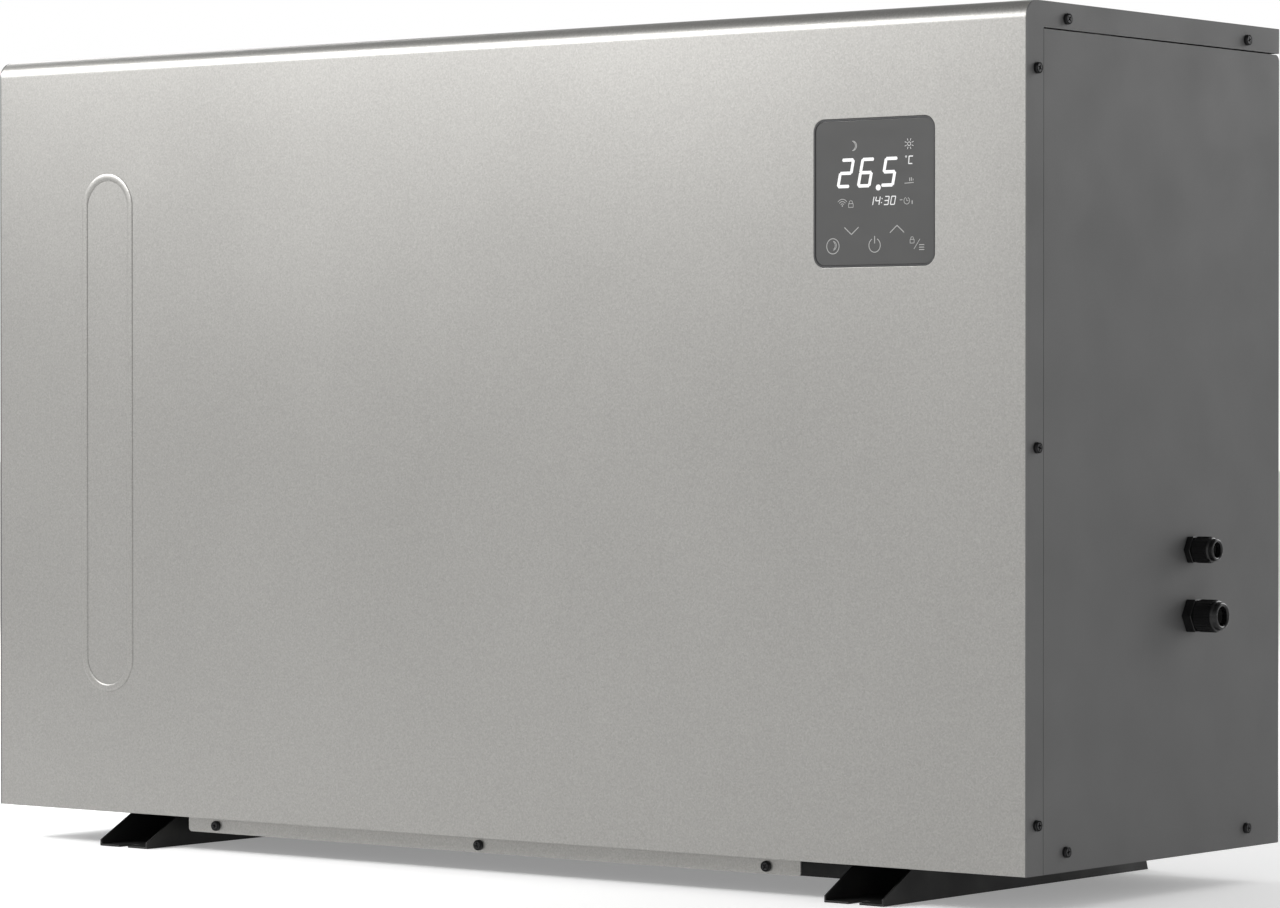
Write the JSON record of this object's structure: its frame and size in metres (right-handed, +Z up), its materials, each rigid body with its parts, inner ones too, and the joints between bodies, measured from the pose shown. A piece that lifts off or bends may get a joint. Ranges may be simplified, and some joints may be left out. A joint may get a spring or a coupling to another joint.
{
  "type": "pool heat pump unit",
  "caption": "Free-standing pool water heat pump in a low rectangular sheet-metal cabinet on two channel feet, with a touch display, cable glands, rear fan and water unions.",
  "frame": {"origin": "centre of the base of the whole unit's box, on the floor", "axes": "+X to the unit's right seen from the front, +Y to its back, +Z up"},
  "size_m": [1.0296, 0.405, 0.6325],
  "materials": {
    "silver_paint": "fine metallic powder coat, satin",
    "graphite_paint": "fine-textured powder coat, matte",
    "black_paint": "satin powder coat",
    "galvanised": "zinc-coated sheet",
    "black_screws": "black oxide",
    "zinc_bolts": "zinc plated",
    "shaft_steel": "ground steel",
    "black_plastic": "fine moulded grain",
    "gland_plastic": "polished moulding",
    "panel_glass": "back-printed acrylic window",
    "circuit_board": "solder mask",
    "coil_fins": "hydrophilic coated lamellae",
    "cast_aluminium": "as extruded",
    "copper": "drawn copper, lightly oxidised",
    "valve_brass": "turned brass",
    "compressor_paint": "semi-gloss enamel",
    "titanium": "drawn titanium",
    "tank_plastic": "off-white moulding",
    "union_plastic": "grey-black moulding",
    "rubber": "matte",
    "fan_plastic": "glass-filled moulding",
    "terminal_plastic": "ivory moulding"
  },
  "bodies": {
    "cabinet": {"front_cover": "silver_paint", "right_edge_trim": "graphite_paint", "left_edge_trim": "graphite_paint", "right_side_panel": "graphite_paint", "left_side_panel": "graphite_paint", "intake_guard": "black_plastic", "rear_fan_panel": "graphite_paint", "rear_service_panel": "graphite_paint", "fan_guard": "black_plastic", "base_pan": "black_paint", "lower_front_strip": "silver_paint", "left_foot": "black_paint", "right_foot": "black_paint", "foot_fasteners": "zinc_bolts", "drain_spigot": "black_plastic", "panel_screws": "black_screws", "control_bezel": "black_plastic", "control_glass": "panel_glass", "display_board": "circuit_board", "evaporator_fins": "coil_fins", "evaporator_end_plates": "galvanised", "evaporator_bends": "copper", "fan_shroud": "black_plastic", "fan_motor": "compressor_paint", "motor_bracket": "galvanised", "partition_plate": "galvanised", "heat_sink": "cast_aluminium", "compressor": "compressor_paint", "compressor_grommets": "rubber", "accumulator": "compressor_paint", "four_way_valve": "valve_brass", "expansion_valve": "valve_brass", "discharge_pipe": "copper", "suction_pipe": "copper", "condenser_pipe": "copper", "evaporator_gas_pipe": "copper", "liquid_pipe": "copper", "heat_exchanger_shell": "tank_plastic", "titanium_coil": "titanium", "heat_exchanger_bracket": "galvanised", "inlet_tailpiece": "union_plastic", "outlet_tailpiece": "union_plastic", "union_seals": "rubber", "flow_switch_body": "black_plastic", "electrical_box": "galvanised", "inverter_board": "circuit_board", "terminal_block": "terminal_plastic", "large_gland_body": "gland_plastic", "small_gland_body": "gland_plastic", "gland_seals": "rubber", "gland_locknuts": "gland_plastic"},
    "fan_rotor": {"fan_impeller": "fan_plastic", "motor_shaft": "shaft_steel", "hub_nut": "zinc_bolts"},
    "inlet_nut": {"inlet_union_nut": "union_plastic"},
    "outlet_nut": {"outlet_union_nut": "union_plastic"},
    "power_gland_nut": {"large_gland_nut": "gland_plastic"},
    "signal_gland_nut": {"small_gland_nut": "gland_plastic"},
    "paddle": {"flow_paddle": "shaft_steel"}
  },
  "joints": [
    {"name": "fan_spin", "type": "hinge", "parent": "cabinet", "child": "fan_rotor", "pos_m": [-0.1272, 0.1005, 0.32], "axis": [0, 1, 0], "continuous": true},
    {"name": "inlet_nut_turn", "type": "hinge", "parent": "cabinet", "child": "inlet_nut", "pos_m": [0.3928, 0.1555, 0.15], "axis": [0, 1, 0], "continuous": true},
    {"name": "outlet_nut_turn", "type": "hinge", "parent": "cabinet", "child": "outlet_nut", "pos_m": [0.3928, 0.1555, 0.33], "axis": [0, 1, 0], "continuous": true},
    {"name": "power_gland_turn", "type": "hinge", "parent": "cabinet", "child": "power_gland_nut", "pos_m": [0.5048, 0.0165, 0.2008], "axis": [1, 0, 0], "continuous": true},
    {"name": "signal_gland_turn", "type": "hinge", "parent": "cabinet", "child": "signal_gland_nut", "pos_m": [0.5018, 0.0165, 0.2485], "axis": [1, 0, 0], "continuous": true},
    {"name": "paddle_swing", "type": "hinge", "parent": "cabinet", "child": "paddle", "pos_m": [0.3928, 0.1005, 0.196], "axis": [-1, 0, 0], "range_deg": [0, 15], "stiffness_Nm_per_rad": 0.02}
  ]
}
